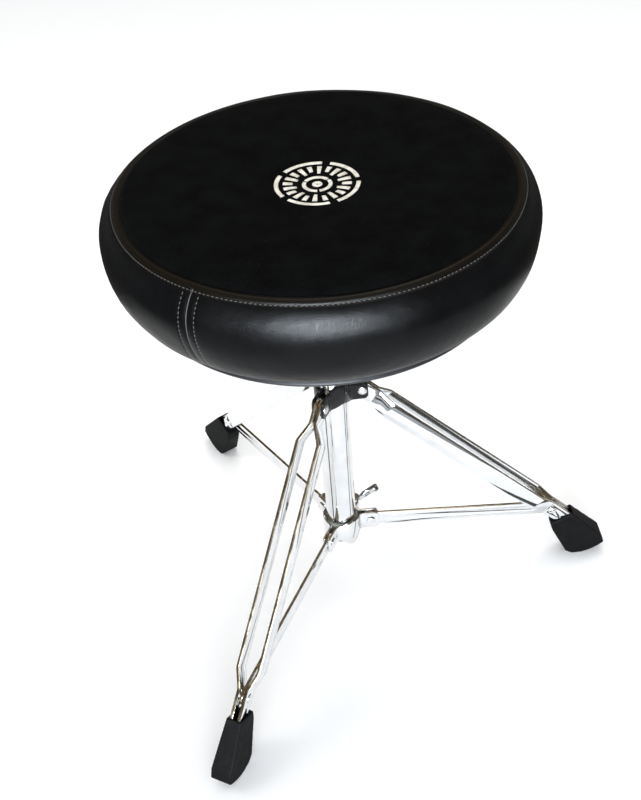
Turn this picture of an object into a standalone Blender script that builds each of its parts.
"""Drum throne: a round padded seat on a screw spindle, held by a folding tripod.

The tripod has three legs of two joggled flat strips each. A leg hangs between two ears of the
upper hub, and a flat stay joins its foot end to a collar that slides on the centre tube. The
collar's wing screw clamps it. All sizes are in metres, +Z is up and the floor is at z = 0.
"""
import math

import bmesh
import bpy
from mathutils import Matrix, Vector
from mathutils.geometry import tessellate_polygon

GAP = 0.0003                    # clearance between pieces that touch
STEEL = 0.0025                  # thickness of the leg strips and of the pressed plates
LEG_ANGLES = (0.0, 120.0, 240.0)

# Seat
SEAT_RADIUS = 0.216             # at the widest part of the side band
SEAT_WAIST_Z = 0.536            # height of the widest part
BAND_CENTRE_R = 0.182           # the side band is two quarter ellipses about this radius
BAND_UPPER = 0.0398             # their vertical half axes above and below the waist
BAND_LOWER = 0.0575
BAND_SKIN = 0.0025
SEAM_R = 0.192                  # seam between the cloth disc and the side band
RIM_R = 0.185                   # lower end of the side band
SEAT_CENTRE_Z = 0.568           # top of the cloth at the slightly dished centre
CROWN_R = 0.160                 # the cloth is highest on this circle
CROWN_RISE = 0.009
CROWN_FALL = 0.003              # drop from the crown to the seam
CLOTH_RADII = [0.015, 0.060, 0.105, 0.145, 0.170]
SEAT_SEGMENTS = 48
BOARD_R = 0.167
BOARD_BOTTOM = 0.466
BOARD_TOP = 0.478
TRIM_R = 0.175

# Seat bracket and screw spindle
BRACKET_HALF = 0.058
BRACKET_PLATE = 0.0032
SOCKET_R = 0.021
SOCKET_BOTTOM = 0.440
SOCKET_END = 0.462
CLAMP_Z = SOCKET_BOTTOM + 0.011  # height of the bolt that clamps the spindle in the socket
SCREW_SPACING = 0.044
SCREW_R = 0.0024
SPINDLE_R = 0.0127
SPINDLE_BOTTOM = 0.236
NUT_FLATS = 0.042               # across the flats of the hexagon on top of the tube
NUT_HEIGHT = 0.012

# Centre tube
TUBE_R = 0.018
TUBE_WALL = 0.002
TUBE_BOTTOM = 0.078
TUBE_TOP = 0.345

# Pivots of a leg in its own upright plane: distance from the tube's axis, and height
HUB_PIVOT = (0.033, 0.308)
FOOT_PIVOT = (0.264, 0.079)
COLLAR_PIVOT = (0.036, 0.095)
LEG_LENGTH = math.dist(HUB_PIVOT, FOOT_PIVOT)
LEG_DIP = math.atan2(HUB_PIVOT[1] - FOOT_PIVOT[1], FOOT_PIVOT[0] - HUB_PIVOT[0])
STAY_LENGTH = math.dist(COLLAR_PIVOT, FOOT_PIVOT)
STAY_DIP = math.atan2(COLLAR_PIVOT[1] - FOOT_PIVOT[1], FOOT_PIVOT[0] - COLLAR_PIVOT[0])
PIN_R = 0.003
PIN_HEAD_R = 0.0052
PIN_HEAD = 0.002

# Leg strips: side offsets of a strip's middle at the hub, along the leg and at the foot
STRIP_DEPTH = 0.019
HUB_OFFSET = 0.00275
SPREAD_OFFSET = 0.0125
FOOT_OFFSET = 0.00475
JOGGLE_FROM_HUB = (0.019, 0.040)
JOGGLE_TO_PIVOT = (0.030, 0.008)
STRIP_TAIL = 0.048              # length of strip inside the rubber foot
STAY_THICK = 0.0035

# Pressed plates: ear gap, barrel radius at mid thickness, ear reach, heights about the pivot
HUB_GAP = 0.0086
HUB_BARREL_R = TUBE_R + GAP + STEEL / 2
HUB_EAR_END = 0.0395
HUB_EAR = (-0.012, 0.013)
HUB_BARREL = (-0.007, 0.024)
COLLAR_GAP = 0.0043
COLLAR_BARREL_R = 0.02145
COLLAR_EAR_END = 0.046
COLLAR_EAR = (-0.012, 0.012)
COLLAR_BARREL = (-0.022, 0.015)
EAR_FILLET = 0.006
EAR_CORNER = 0.0045

# Wing screw, between leg 1 and leg 2
WING_ANGLE = 60.0
WING_ROLL = -35.0
WING_SCREW_R = 0.004
BOSS_R = 0.010
BOSS_END = 0.034
WING_HUB = (0.0355, 0.047)
WING_SPAN = 0.034

# Rubber foot: its outline in the leg's upright plane, as distance out from the foot pivot and
# height over the floor; the sole rocks up from a flat tread at both ends
FOOT_HALF_WIDTH = 0.0125
FOOT_MOUTH_TAPER = 0.70         # the mouth's width as a part of the sole's
FOOT_SOLE = [(0.0215, 0.0050), (0.0300, 0.0), (0.0420, 0.0), (0.0500, 0.0022),
             (0.0580, 0.0058), (0.0650, 0.0103), (0.0703, 0.0150)]
FOOT_UPPER = [(0.0668, 0.0270), (0.0270, 0.0700), (0.0000, 0.0560), (0.0018, 0.0450)]

# The tube's axis stands where the bounding box, seat edge to toe of leg 1, is centred on x = 0
AXIS_X = (SEAT_RADIUS - FOOT_PIVOT[0] - FOOT_SOLE[-1][0]) / 2


def clear_scene():
    for obj in list(bpy.data.objects):
        bpy.data.objects.remove(obj, do_unlink=True)


def material(name, colour, roughness, metallic=0.0):
    mat = bpy.data.materials.new(name)
    mat.use_nodes = True
    shader = mat.node_tree.nodes["Principled BSDF"]
    shader.inputs["Base Color"].default_value = (*colour, 1.0)
    shader.inputs["Roughness"].default_value = roughness
    shader.inputs["Metallic"].default_value = metallic
    return mat


def finish_mesh(name, mesh):
    """Turn a bmesh into mesh data with its faces pointing out and round faces shaded smooth."""
    bmesh.ops.recalc_face_normals(mesh, faces=mesh.faces)
    data = bpy.data.meshes.new(name)
    mesh.to_mesh(data)
    mesh.free()
    data.shade_smooth()
    data.set_sharp_from_angle(angle=math.radians(35))
    return data


def add(name, data, mat, parent):
    obj = bpy.data.objects.new(name, data)
    bpy.context.collection.objects.link(obj)
    obj.parent = parent
    if not data.materials:
        data.materials.append(mat)
    return obj


def pivot(name, location, angle=0.0, dip=0.0, parent=None):
    """An empty at a joint: turned by angle about Z, its X axis then dipped below the level."""
    empty = bpy.data.objects.new(name, None)
    bpy.context.collection.objects.link(empty)
    empty.parent = parent
    turn = Matrix.Rotation(angle, 4, "Z") @ Matrix.Rotation(dip, 4, "Y")
    empty.matrix_local = Matrix.Translation(location) @ turn
    return empty


def turned(profile, segments, ring=False):
    """Revolve (r, z) points about Z: a ring if the profile is closed, else capped at both ends."""
    mesh = bmesh.new()
    angles = [2 * math.pi * i / segments for i in range(segments)]
    rings = []
    for r, z in profile:
        rings.append([mesh.verts.new((r * math.cos(a), r * math.sin(a), z)) for a in angles])
    pairs = list(zip(rings, rings[1:]))
    if ring:
        pairs.append((rings[-1], rings[0]))
    else:
        mesh.faces.new(rings[0])
        mesh.faces.new(rings[-1])
    for lower, upper in pairs:
        for i in range(segments):
            j = (i + 1) % segments
            mesh.faces.new((lower[i], lower[j], upper[j], upper[i]))
    return mesh


def prism(loops, low, high):
    """Extrude an outline, the first loop, with holes, the other loops, between two heights."""
    mesh = bmesh.new()
    levels = []
    for height in (low, high):
        levels.append([mesh.verts.new((x, y, height)) for loop in loops for x, y in loop])
    outlines = [[Vector((x, y, 0.0)) for x, y in loop] for loop in loops]
    for triangle in tessellate_polygon(outlines):
        for level in levels:
            mesh.faces.new([level[i] for i in triangle])
    start = 0
    for loop in loops:
        for i in range(len(loop)):
            a = start + i
            b = start + (i + 1) % len(loop)
            mesh.faces.new((levels[0][a], levels[0][b], levels[1][b], levels[1][a]))
        start += len(loop)
    return mesh


def arc(centre, radius, start, end, steps):
    """Points on an arc between two angles in degrees."""
    points = []
    for i in range(steps + 1):
        a = math.radians(start + (end - start) * i / steps)
        points.append((centre[0] + radius * math.cos(a), centre[1] + radius * math.sin(a)))
    return points


def hole(x, y, radius, steps=12):
    return arc((x, y), radius, 0.0, 360.0, steps)[:-1]


def carve(name, body, tools, operation="DIFFERENCE"):
    """Cut the tools out of the body, or join them to it, in the body's own frame."""
    main = bpy.data.objects.new(name, finish_mesh(name, body))
    bpy.context.collection.objects.link(main)
    helpers = [main]
    for tool in tools:
        cutter = bpy.data.objects.new(name + "_cutter", finish_mesh(name + "_cutter", tool))
        bpy.context.collection.objects.link(cutter)
        helpers.append(cutter)
        modifier = main.modifiers.new("Boolean", "BOOLEAN")
        modifier.operation = operation
        modifier.object = cutter
    depsgraph = bpy.context.evaluated_depsgraph_get()
    data = bpy.data.meshes.new_from_object(main.evaluated_get(depsgraph))
    for helper in helpers:
        bpy.data.objects.remove(helper, do_unlink=True)
    data.name = name
    data.shade_smooth()
    data.set_sharp_from_angle(angle=math.radians(35))
    return data


def cylinder(radius, low, high, axis="Z", centre=(0.0, 0.0, 0.0), segments=16):
    """A plain cylinder from low to high along one axis through the centre."""
    mesh = turned([(radius, low), (radius, high)], segments)
    turn = {"X": Matrix.Rotation(math.pi / 2, 4, "Y"),
            "Y": Matrix.Rotation(-math.pi / 2, 4, "X"),
            "Z": Matrix.Identity(4)}[axis]
    mesh.transform(Matrix.Translation(centre) @ turn)
    return mesh


# ---------------------------------------------------------------- seat

def band_point(angle, inset=0.0):
    """A point of the side band's section: 90 degrees at the top, 0 at the waist, below it < 0."""
    a = math.radians(angle)
    tall = BAND_UPPER if angle > 0 else BAND_LOWER
    r = BAND_CENTRE_R + (SEAT_RADIUS - BAND_CENTRE_R - inset) * math.cos(a)
    z = SEAT_WAIST_Z + (tall - inset) * math.sin(a)
    return r, z


def band_angle(r, inset=0.0):
    """The angle at which the side band's section reaches a radius."""
    reach = SEAT_RADIUS - BAND_CENTRE_R - inset
    return math.degrees(math.acos((r - BAND_CENTRE_R) / reach))


def band_section(inset, steps):
    """The side band's section from its lower rim to the seam, set in by a distance."""
    low = -band_angle(RIM_R - inset / 2, inset)
    high = band_angle(SEAM_R, inset)
    return [band_point(low + (high - low) * i / steps, inset) for i in range(steps + 1)]


def crown_height(r):
    """Height of the cloth's top: a shallow dish inside the crown, falling to the seam."""
    if r < CROWN_R:
        rise = math.sin(math.pi / 2 * r / CROWN_R) ** 2
        return SEAT_CENTRE_Z + CROWN_RISE * rise
    fall = (r - CROWN_R) / (SEAM_R - CROWN_R)
    return SEAT_CENTRE_Z + CROWN_RISE - CROWN_FALL * fall ** 2


def seat_side_band():
    outer = band_section(0.0, 10)
    inner = band_section(BAND_SKIN, 5)
    return turned(outer + inner[::-1], SEAT_SEGMENTS, ring=True)


def seat_top_cloth():
    radii = CLOTH_RADII + [SEAM_R - GAP]
    top = [(r, crown_height(r)) for r in radii]
    bottom = [(r, z - BAND_SKIN) for r, z in top]
    return turned(bottom + top[::-1], SEAT_SEGMENTS)


def seat_foam():
    inset = BAND_SKIN + GAP
    trim_top = band_point(-band_angle(RIM_R))[1]
    side = [p for p in band_section(inset, 5) if p[1] > trim_top + 0.001]
    foot = [(BOARD_R, BOARD_TOP + GAP), (BOARD_R, trim_top + GAP)]
    top = [(r, crown_height(r) - BAND_SKIN - GAP) for r in CLOTH_RADII[::-1]]
    return turned(foot + side + top, SEAT_SEGMENTS)


def seat_board():
    drills = []
    for sx in (-1, 1):
        for sy in (-1, 1):
            centre = (sx * SCREW_SPACING, sy * SCREW_SPACING, 0.0)
            drills.append(cylinder(SCREW_R + GAP, BOARD_BOTTOM - 0.01, BOARD_BOTTOM + 0.0095,
                                   centre=centre, segments=12))
    disc = turned([(BOARD_R - 0.002, BOARD_BOTTOM), (BOARD_R, BOARD_BOTTOM + 0.002),
                   (BOARD_R, BOARD_TOP)], SEAT_SEGMENTS)
    return carve("seat_board", disc, drills)


def edge_trim():
    """Moulded ring around the board's edge, under the side band."""
    inner = BOARD_R + GAP
    top = band_point(-band_angle(RIM_R))[1] - GAP
    section = [(inner, BOARD_BOTTOM + 0.0005), (TRIM_R - 0.003, BOARD_BOTTOM + 0.0005)]
    section += arc((TRIM_R - 0.003, BOARD_BOTTOM + 0.0035), 0.003, -45.0, 0.0, 2)
    section += [(TRIM_R, top - 0.001), (TRIM_R - 0.001, top), (inner, top)]
    return turned(section, SEAT_SEGMENTS, ring=True)


def rounded_square(half, corner, steps=4):
    points = []
    for quarter in range(4):
        sx = (1, -1, -1, 1)[quarter]
        sy = (1, 1, -1, -1)[quarter]
        centre = (sx * (half - corner), sy * (half - corner))
        points += arc(centre, corner, 90.0 * quarter, 90.0 * quarter + 90.0, steps)
    return points


def seat_bracket():
    """Square plate under the board with a socket for the spindle welded to it."""
    high = BOARD_BOTTOM - GAP
    low = high - BRACKET_PLATE
    holes = []
    for sx in (-1, 1):
        for sy in (-1, 1):
            holes.append(hole(sx * SCREW_SPACING, sy * SCREW_SPACING, SCREW_R + GAP, 12))
    plate = prism([rounded_square(BRACKET_HALF, 0.012)] + holes, low, high)
    weld = 0.003
    socket = turned([(SPINDLE_R + GAP, SOCKET_END), (SPINDLE_R + GAP, SOCKET_BOTTOM),
                     (SOCKET_R - 0.001, SOCKET_BOTTOM), (SOCKET_R, SOCKET_BOTTOM + 0.001),
                     (SOCKET_R, low - weld), (SOCKET_R + weld, low + 0.001)], 24)
    tapped = cylinder(0.0043, 0.005, SOCKET_R + 0.01, "X", (0.0, 0.0, CLAMP_Z))
    joined = carve("seat_bracket", plate, [socket], "UNION")
    body = bmesh.new()
    body.from_mesh(joined)
    return carve("seat_bracket", body, [tapped])


def clamp_bolt():
    """Hexagon bolt that clamps the spindle in the socket, along +X."""
    mesh = turned([(0.004, SPINDLE_R + GAP), (0.004, SOCKET_R + GAP)], 16)
    head = turned([(0.004, SOCKET_R + GAP), (0.0065, SOCKET_R + GAP),
                   (0.0065, SOCKET_R + 0.005), (0.0056, SOCKET_R + 0.0055)], 6)
    data = carve("clamp_bolt", head, [mesh], "UNION")
    data.transform(Matrix.Translation((0.0, 0.0, CLAMP_Z)) @ Matrix.Rotation(math.pi / 2, 4, "Y"))
    return data


def bracket_screw():
    """Pan head screw, its head under the bracket plate, point up in the board."""
    seat = BOARD_BOTTOM - 2 * GAP - BRACKET_PLATE
    profile = [(0.0018, seat - 0.0024), (0.0042, seat - 0.0018), (0.0048, seat - 0.0006),
               (0.0048, seat), (SCREW_R, seat), (SCREW_R, BOARD_BOTTOM + 0.007),
               (0.0006, BOARD_BOTTOM + 0.009)]
    return turned(profile, 12)


def spindle():
    top = SOCKET_END - GAP
    chamfer = 0.0015
    return turned([(SPINDLE_R - chamfer, SPINDLE_BOTTOM), (SPINDLE_R, SPINDLE_BOTTOM + chamfer),
                   (SPINDLE_R, top - chamfer), (SPINDLE_R - chamfer, top)], 24)


# ---------------------------------------------------------------- column

def centre_tube():
    inner = TUBE_R - TUBE_WALL
    return turned([(inner, TUBE_BOTTOM), (TUBE_R, TUBE_BOTTOM), (TUBE_R, TUBE_TOP),
                   (inner, TUBE_TOP)], 36, ring=True)


def tube_plug():
    inner = TUBE_R - TUBE_WALL - GAP
    low = TUBE_BOTTOM - GAP
    return turned([(TUBE_R - 0.001, low - 0.002), (TUBE_R, low - 0.001), (TUBE_R, low),
                   (inner, low), (inner, low + 0.010), (inner - 0.001, low + 0.012)], 24)


def spindle_nut():
    """Threaded insert in the tube's top, with a hexagon collar resting on the rim."""
    low = TUBE_TOP + GAP
    radius = NUT_FLATS / 2 / math.cos(math.pi / 6)
    hexagon = turned([(radius - 0.001, low), (radius, low + 0.001),
                      (radius, low + NUT_HEIGHT - 0.001), (radius - 0.001, low + NUT_HEIGHT)], 6)
    shank = turned([(TUBE_R - TUBE_WALL - GAP, low - 0.030),
                    (TUBE_R - TUBE_WALL - GAP, low + 0.001)], 24)
    bore = cylinder(SPINDLE_R + GAP, low - 0.05, low + 0.05, segments=24)
    joined = carve("spindle_nut", hexagon, [shank], "UNION")
    body = bmesh.new()
    body.from_mesh(joined)
    return carve("spindle_nut", body, [bore])


def plate_path(barrel_r, gap, ear_end):
    """Middle line of a pressed plate in plan: ear, fillet, barrel, fillet, ear at 120 degrees."""
    side = (gap + STEEL) / 2
    bend = EAR_FILLET
    reach = math.sqrt((barrel_r + bend) ** 2 - (side + bend) ** 2)
    start = math.degrees(math.atan2(side + bend, reach))
    corner = EAR_CORNER
    half = [(ear_end - corner * (1 - math.cos(math.radians(a))), side) for a in (0, 30, 60, 90)]
    half += arc((reach, side + bend), bend, -90.0, start - 180.0, 4)
    half += arc((0.0, 0.0), barrel_r, start, 60.0, 4)[1:]
    mirror = Matrix.Rotation(math.radians(120.0), 2)
    other = [mirror @ Vector((x, -y)) for x, y in half[:-1]]
    return [Vector(p) for p in half] + other[::-1]


def pressed_plate(barrel_r, gap, ear_end, ear, barrel):
    """Sheet lofted along its path; the ears' outer corners are round, the barrel's edges arch."""
    path = plate_path(barrel_r, gap, ear_end)
    mesh = bmesh.new()
    sections = []
    for i, point in enumerate(path):
        along = path[min(i + 1, len(path) - 1)] - path[max(i - 1, 0)]
        normal = Vector((-along.y, along.x)).normalized() * STEEL / 2
        angle = math.degrees(math.atan2(point.y, point.x)) % 360.0
        spread = max(0.0, 1 - abs(angle - 60.0) / 45.0)
        blend = spread * spread * (3 - 2 * spread)
        low = ear[0] + (barrel[0] - ear[0]) * blend
        high = ear[1] + (barrel[1] - ear[1]) * blend
        outside = max(0.0, point.length - (ear_end - EAR_CORNER)) / EAR_CORNER
        cut = EAR_CORNER * (1 - math.sqrt(max(0.0, 1 - min(outside, 1.0) ** 2)))
        corners = [(point + normal, low + cut), (point - normal, low + cut),
                   (point - normal, high - cut), (point + normal, high - cut)]
        sections.append([mesh.verts.new((p.x, p.y, z)) for p, z in corners])
    for first, second in zip(sections, sections[1:]):
        for k in range(4):
            m = (k + 1) % 4
            mesh.faces.new((first[k], first[m], second[m], second[k]))
    mesh.faces.new(sections[0])
    mesh.faces.new(sections[-1])
    bmesh.ops.recalc_face_normals(mesh, faces=mesh.faces)
    return mesh


def ear_drills(pivot_r):
    """Cutters for the pin holes in both ears of a pressed plate."""
    drills = []
    for angle in (0.0, 120.0):
        drill = cylinder(PIN_R + GAP, -0.02, 0.02, "Y", (pivot_r, 0.0, 0.0))
        drill.transform(Matrix.Rotation(math.radians(angle), 4, "Z"))
        drills.append(drill)
    return drills


def hub_plate():
    sheet = pressed_plate(HUB_BARREL_R, HUB_GAP, HUB_EAR_END, HUB_EAR, HUB_BARREL)
    return carve("hub_plate", sheet, ear_drills(HUB_PIVOT[0]))


def head_profile(base):
    """A domed rivet head that stands on a face at the given height."""
    return [(PIN_HEAD_R, base), (PIN_HEAD_R * 0.85, base + 0.6 * PIN_HEAD),
            (PIN_HEAD_R * 0.4, base + PIN_HEAD)]


def hub_pin():
    """Half of a leg's hub pin: a head outside one ear, and a shank flush with its inner face."""
    inner = HUB_GAP / 2
    outer = inner + STEEL + GAP
    mesh = turned([(PIN_R, inner), (PIN_R, outer)] + head_profile(outer), 12)
    mesh.transform(Matrix.Rotation(-math.pi / 2, 4, "X"))
    return finish_mesh("hub_pin", mesh)


# ---------------------------------------------------------------- collar

def collar_plate(with_screw_hole):
    sheet = pressed_plate(COLLAR_BARREL_R, COLLAR_GAP, COLLAR_EAR_END, COLLAR_EAR, COLLAR_BARREL)
    drills = ear_drills(COLLAR_PIVOT[0])
    if with_screw_hole:
        drills.append(screw_hole())
    return carve("collar_plate", sheet, drills)


def screw_hole():
    drill = cylinder(WING_SCREW_R + GAP, 0.010, 0.060, "X")
    drill.transform(Matrix.Rotation(math.radians(WING_ANGLE), 4, "Z"))
    return drill


def collar_bush():
    """Plastic sleeve between the collar's plates and the tube."""
    inner = TUBE_R + GAP
    outer = COLLAR_BARREL_R - STEEL / 2 - GAP
    low = COLLAR_EAR[0] + 0.002
    high = COLLAR_EAR[1] - 0.002
    ring = turned([(inner, low), (outer, low), (outer, high), (inner, high)], 24, ring=True)
    return carve("collar_bush", ring, [screw_hole()])


def collar_boss():
    """Threaded boss on the collar's first plate, for the wing screw; it lies along +X."""
    body = turned([(BOSS_R, 0.018), (BOSS_R, BOSS_END - 0.001), (BOSS_R - 0.001, BOSS_END)], 24)
    body.transform(Matrix.Rotation(math.pi / 2, 4, "Y"))
    saddle = cylinder(COLLAR_BARREL_R + STEEL / 2 + GAP, -0.03, 0.03, segments=48)
    bore = cylinder(WING_SCREW_R + GAP, 0.0, 0.06, "X")
    return carve("collar_boss", body, [saddle, bore])


def stay_pin():
    """Rivet through both ears of the collar and the stay between them."""
    outer = COLLAR_GAP / 2 + STEEL + GAP
    head = head_profile(outer)
    mirrored = [(r, -z) for r, z in head[::-1]]
    mesh = turned(mirrored + [(PIN_R, -outer), (PIN_R, outer)] + head, 12)
    mesh.transform(Matrix.Rotation(-math.pi / 2, 4, "X"))
    return finish_mesh("stay_pin", mesh)


def wing_screw():
    """Wing screw along +X: a round hub with two blades swept outwards, and a blunt shank."""
    start, end = WING_HUB
    body = turned([(0.0030, TUBE_R + GAP), (WING_SCREW_R, TUBE_R + 0.0015),
                   (WING_SCREW_R, start), (0.0068, start), (0.0072, start + 0.001),
                   (0.0058, end - 0.002), (0.0040, end)], 20)
    body.transform(Matrix.Rotation(math.pi / 2, 4, "Y"))
    half = [(start + 0.0015, 0.0), (start + 0.0020, 0.009), (start + 0.0060, 0.017),
            (start + 0.0105, 0.023)]
    half += arc((end + 0.0035, WING_SPAN - 0.0050), 0.0055, 150.0, -20.0, 6)
    half += [(end + 0.0005, 0.012), (end - 0.0035, 0.005)]
    outline = half + [(x, -y) for x, y in half[::-1] if y > 0]
    blades = prism([outline], -0.0017, 0.0017)
    return carve("wing_screw", body, [blades], "UNION")


# ---------------------------------------------------------------- legs and stays

def strip_offset(x):
    """Side offset of a leg strip's middle at a distance x from the foot pivot."""
    hub_x = -LEG_LENGTH
    knots = [(hub_x + JOGGLE_FROM_HUB[0], HUB_OFFSET), (hub_x + JOGGLE_FROM_HUB[1], SPREAD_OFFSET),
             (-JOGGLE_TO_PIVOT[0], SPREAD_OFFSET), (-JOGGLE_TO_PIVOT[1], FOOT_OFFSET)]
    if x <= knots[0][0]:
        return knots[0][1]
    for (x0, y0), (x1, y1) in zip(knots, knots[1:]):
        if x <= x1:
            return y0 + (y1 - y0) * (x - x0) / (x1 - x0)
    return knots[-1][1]


def leg_strip(side):
    """One flat strip of a leg, joggled out below the hub and in again above the foot."""
    half = STRIP_DEPTH / 2
    outline = arc((-LEG_LENGTH, 0.0), half, 90.0, 270.0, 10)
    outline += [(STRIP_TAIL, -half), (STRIP_TAIL, half)]
    holes = [hole(-LEG_LENGTH, 0.0, PIN_R + GAP), hole(0.0, 0.0, PIN_R + GAP)]
    mesh = prism([outline] + holes, -STEEL / 2, STEEL / 2)
    hub_x = -LEG_LENGTH
    bends = [hub_x + JOGGLE_FROM_HUB[0], hub_x + JOGGLE_FROM_HUB[1],
             -JOGGLE_TO_PIVOT[0], -JOGGLE_TO_PIVOT[1]]
    for x in bends:
        for shift in (-0.0012, 0.0012):
            geometry = mesh.verts[:] + mesh.edges[:] + mesh.faces[:]
            bmesh.ops.bisect_plane(mesh, geom=geometry, plane_co=(x + shift, 0, 0),
                                   plane_no=(1, 0, 0))
    mesh.transform(Matrix.Rotation(math.pi / 2, 4, "X"))
    for vert in mesh.verts:
        vert.co.y += side * strip_offset(vert.co.x)
    return finish_mesh("leg_strip", mesh)


def stay():
    """Flat bar from the collar, at the origin, out to the leg's foot pivot."""
    half = STRIP_DEPTH / 2
    outline = arc((0.0, 0.0), half, 90.0, 270.0, 10)
    outline += arc((STAY_LENGTH, 0.0), half, -90.0, 90.0, 10)
    holes = [hole(0.0, 0.0, PIN_R + GAP), hole(STAY_LENGTH, 0.0, PIN_R + GAP)]
    mesh = prism([outline] + holes, -STAY_THICK / 2, STAY_THICK / 2)
    mesh.transform(Matrix.Rotation(math.pi / 2, 4, "X"))
    return finish_mesh("stay", mesh)


def foot_pin():
    """Rivet through both strips, with shoulders that keep them off the stay between them."""
    outer = FOOT_OFFSET + STEEL / 2 + GAP
    inner = FOOT_OFFSET - STEEL / 2 - GAP
    stay_side = STAY_THICK / 2 + GAP
    half = [(PIN_R, stay_side), (0.0055, stay_side), (0.0055, inner), (PIN_R, inner),
            (PIN_R, outer)] + head_profile(outer)
    mesh = turned([(r, -z) for r, z in half[::-1]] + half, 12)
    mesh.transform(Matrix.Rotation(-math.pi / 2, 4, "X"))
    return finish_mesh("foot_pin", mesh)


def in_leg_frame(out, height):
    """A point of the leg's upright plane, along the leg and across it, from the foot pivot."""
    rise = height - FOOT_PIVOT[1]
    along = out * math.cos(LEG_DIP) - rise * math.sin(LEG_DIP)
    across = out * math.sin(LEG_DIP) + rise * math.cos(LEG_DIP)
    return along, across


def rubber_foot():
    """Moulded boot: a flared socket at the strips' end, widening to a curved rocker sole."""
    outline = [in_leg_frame(out, height) for out, height in FOOT_SOLE + FOOT_UPPER]
    mesh = prism([outline], -FOOT_HALF_WIDTH, FOOT_HALF_WIDTH)
    mesh.transform(Matrix.Rotation(math.pi / 2, 4, "X"))
    bmesh.ops.recalc_face_normals(mesh, faces=mesh.faces)
    for vert in mesh.verts:
        widening = min(1.0, max(0.0, (vert.co.x - 0.020) / 0.050))
        vert.co.y *= FOOT_MOUTH_TAPER + (1.0 - FOOT_MOUTH_TAPER) * widening
    side = FOOT_OFFSET + STEEL / 2 + GAP
    deep = STRIP_DEPTH / 2 + GAP
    return carve("rubber_foot", mesh, [pocket(side, deep)])


def pocket(side, deep):
    """Cutter for the boot's socket: it fits the strips' ends and flares towards the mouth."""
    mesh = bmesh.new()
    stations = [(0.0080, 0.0072, -0.0106, 0.0110), (0.0260, 0.0072, -0.0106, 0.0110),
                (0.0330, side, -deep, deep), (STRIP_TAIL + GAP, side, -deep, deep)]
    rings = []
    for x, y, low, high in stations:
        corners = [(-y, low), (y, low), (y, high), (-y, high)]
        rings.append([mesh.verts.new((x, b, c)) for b, c in corners])
    for first, second in zip(rings, rings[1:]):
        for k in range(4):
            m = (k + 1) % 4
            mesh.faces.new((first[k], first[m], second[m], second[k]))
    mesh.faces.new(rings[0])
    mesh.faces.new(rings[-1])
    return mesh


# ---------------------------------------------------------------- assembly

def build_seat(axis, mats):
    seat = pivot("seat_turn_axis", (0.0, 0.0, 0.0), parent=axis)
    add("seat_side_band", finish_mesh("seat_side_band", seat_side_band()), mats["vinyl"], seat)
    add("seat_top_cloth", finish_mesh("seat_top_cloth", seat_top_cloth()), mats["cloth"], seat)
    add("seat_foam", finish_mesh("seat_foam", seat_foam()), mats["foam"], seat)
    add("edge_trim", finish_mesh("edge_trim", edge_trim()), mats["trim"], seat)
    add("seat_board", seat_board(), mats["board"], seat)
    add("seat_bracket", seat_bracket(), mats["black_steel"], seat)
    add("clamp_bolt", clamp_bolt(), mats["bolt"], seat)
    screw = finish_mesh("bracket_screw", bracket_screw())
    places = [(1, 1), (-1, 1), (-1, -1), (1, -1)]
    for i, (sx, sy) in enumerate(places):
        obj = add("bracket_screw_%d" % (i + 1), screw, mats["bolt"], seat)
        obj.location = (sx * SCREW_SPACING, sy * SCREW_SPACING, 0.0)
    lift = pivot("spindle_lift_axis", (0.0, 0.0, 0.0), parent=axis)
    add("spindle", finish_mesh("spindle", spindle()), mats["spindle"], lift)


def build_column(axis, mats):
    add("centre_tube", finish_mesh("centre_tube", centre_tube()), mats["chrome"], axis)
    add("tube_plug", finish_mesh("tube_plug", tube_plug()), mats["plastic"], axis)
    add("spindle_nut", spindle_nut(), mats["nut"], axis)
    plate = hub_plate()
    pin = hub_pin()
    for i, degrees in enumerate(LEG_ANGLES):
        hub = pivot("hub_arm_%d" % (i + 1), (0.0, 0.0, HUB_PIVOT[1]), math.radians(degrees),
                    parent=axis)
        add("hub_plate_%d" % (i + 1), plate, mats["black_steel_hub"], hub)
        for side, word in ((1, "left"), (-1, "right")):
            obj = add("leg_pin_%d_%s" % (i + 1, word), pin, mats["rivet"], hub)
            turn = Matrix.Rotation(0.0 if side > 0 else math.pi, 4, "X")
            obj.matrix_local = Matrix.Translation((HUB_PIVOT[0], 0.0, 0.0)) @ turn


def build_collar(axis, mats):
    collar = pivot("collar_slide_axis", (0.0, 0.0, COLLAR_PIVOT[1]), parent=axis)
    add("collar_bush", collar_bush(), mats["bush"], collar)
    plain = collar_plate(False)
    drilled = collar_plate(True)
    pin = stay_pin()
    for i, degrees in enumerate(LEG_ANGLES):
        arm = pivot("collar_arm_%d" % (i + 1), (0.0, 0.0, 0.0), math.radians(degrees),
                    parent=collar)
        add("collar_plate_%d" % (i + 1), drilled if i == 0 else plain, mats["chrome_plate"], arm)
        obj = add("stay_pin_%d" % (i + 1), pin, mats["chrome_pin"], arm)
        obj.location = (COLLAR_PIVOT[0], 0.0, 0.0)
    side = pivot("wing_axis", (0.0, 0.0, 0.0), math.radians(WING_ANGLE), parent=collar)
    add("collar_boss", collar_boss(), mats["chrome_boss"], side)
    wing = add("wing_screw", wing_screw(), mats["chrome_wing"], side)
    wing.rotation_euler = (math.radians(WING_ROLL), 0.0, 0.0)
    return collar


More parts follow.
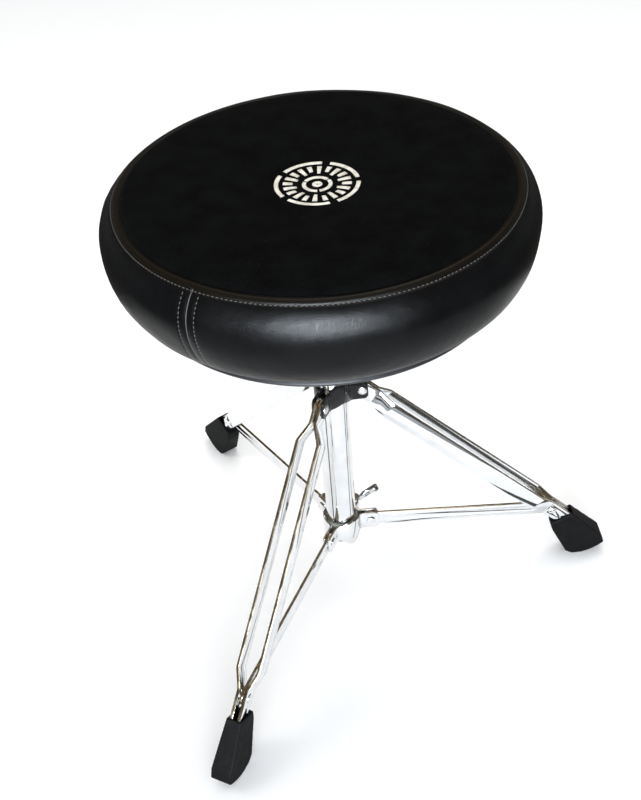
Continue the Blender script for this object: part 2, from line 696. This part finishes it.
def build_leg(number, degrees, collar, shared, mats):
    """One stay and one leg, each under an empty on its joint's axis."""
    turn = math.radians(degrees)
    arm = pivot("leg_plane_%d" % number, (0.0, 0.0, 0.0), turn, parent=collar)
    stay_axis = pivot("stay_%d_axis" % number, (COLLAR_PIVOT[0], 0.0, 0.0), dip=STAY_DIP,
                      parent=arm)
    add("stay_%d" % number, shared["stay"], mats["chrome_stay"], stay_axis)
    leg_axis = pivot("leg_%d_axis" % number, (STAY_LENGTH, 0.0, 0.0), dip=LEG_DIP - STAY_DIP,
                     parent=stay_axis)
    add("leg_%d_strip_left" % number, shared["left"], mats["chrome_leg"], leg_axis)
    add("leg_%d_strip_right" % number, shared["right"], mats["chrome_leg"], leg_axis)
    add("foot_pin_%d" % number, shared["pin"], mats["chrome_pin"], leg_axis)
    add("rubber_foot_%d" % number, shared["foot"], mats["rubber"], leg_axis)


def make_materials():
    steel = (0.80, 0.81, 0.83)
    black = (0.012, 0.012, 0.013)
    mats = {
        "vinyl": material("black_vinyl", (0.014, 0.015, 0.017), 0.42),
        "cloth": material("black_velour", (0.008, 0.008, 0.009), 0.95),
        "foam": material("foam", (0.55, 0.52, 0.42), 0.95),
        "trim": material("edge_trim_plastic", (0.02, 0.021, 0.024), 0.30),
        "board": material("plywood", (0.42, 0.30, 0.17), 0.75),
        "black_steel": material("bracket_black_paint", black, 0.40),
        "black_steel_hub": material("hub_black_paint", black, 0.22),
        "bolt": material("zinc_screws", (0.62, 0.62, 0.60), 0.35, 1.0),
        "rivet": material("bright_rivets", (0.75, 0.75, 0.74), 0.22, 1.0),
        "spindle": material("spindle_steel", (0.66, 0.66, 0.67), 0.25, 1.0),
        "nut": material("nut_steel", (0.66, 0.66, 0.67), 0.25, 1.0),
        "plastic": material("black_plastic", (0.02, 0.02, 0.02), 0.50),
        "bush": material("bush_nylon", (0.03, 0.03, 0.03), 0.55),
        "rubber": material("black_rubber", (0.018, 0.019, 0.021), 0.62),
    }
    for part in ("", "_plate", "_boss", "_wing", "_stay", "_leg", "_pin"):
        mats["chrome" + part] = material("chrome" + part, steel, 0.06, 1.0)
    return mats


def build():
    clear_scene()
    mats = make_materials()
    axis = pivot("throne", (AXIS_X, 0.0, 0.0))
    build_column(axis, mats)
    build_seat(axis, mats)
    collar = build_collar(axis, mats)
    shared = {"stay": stay(), "left": leg_strip(1), "right": leg_strip(-1),
              "pin": foot_pin(), "foot": rubber_foot()}
    for i, degrees in enumerate(LEG_ANGLES):
        build_leg(i + 1, degrees, collar, shared, mats)


build()
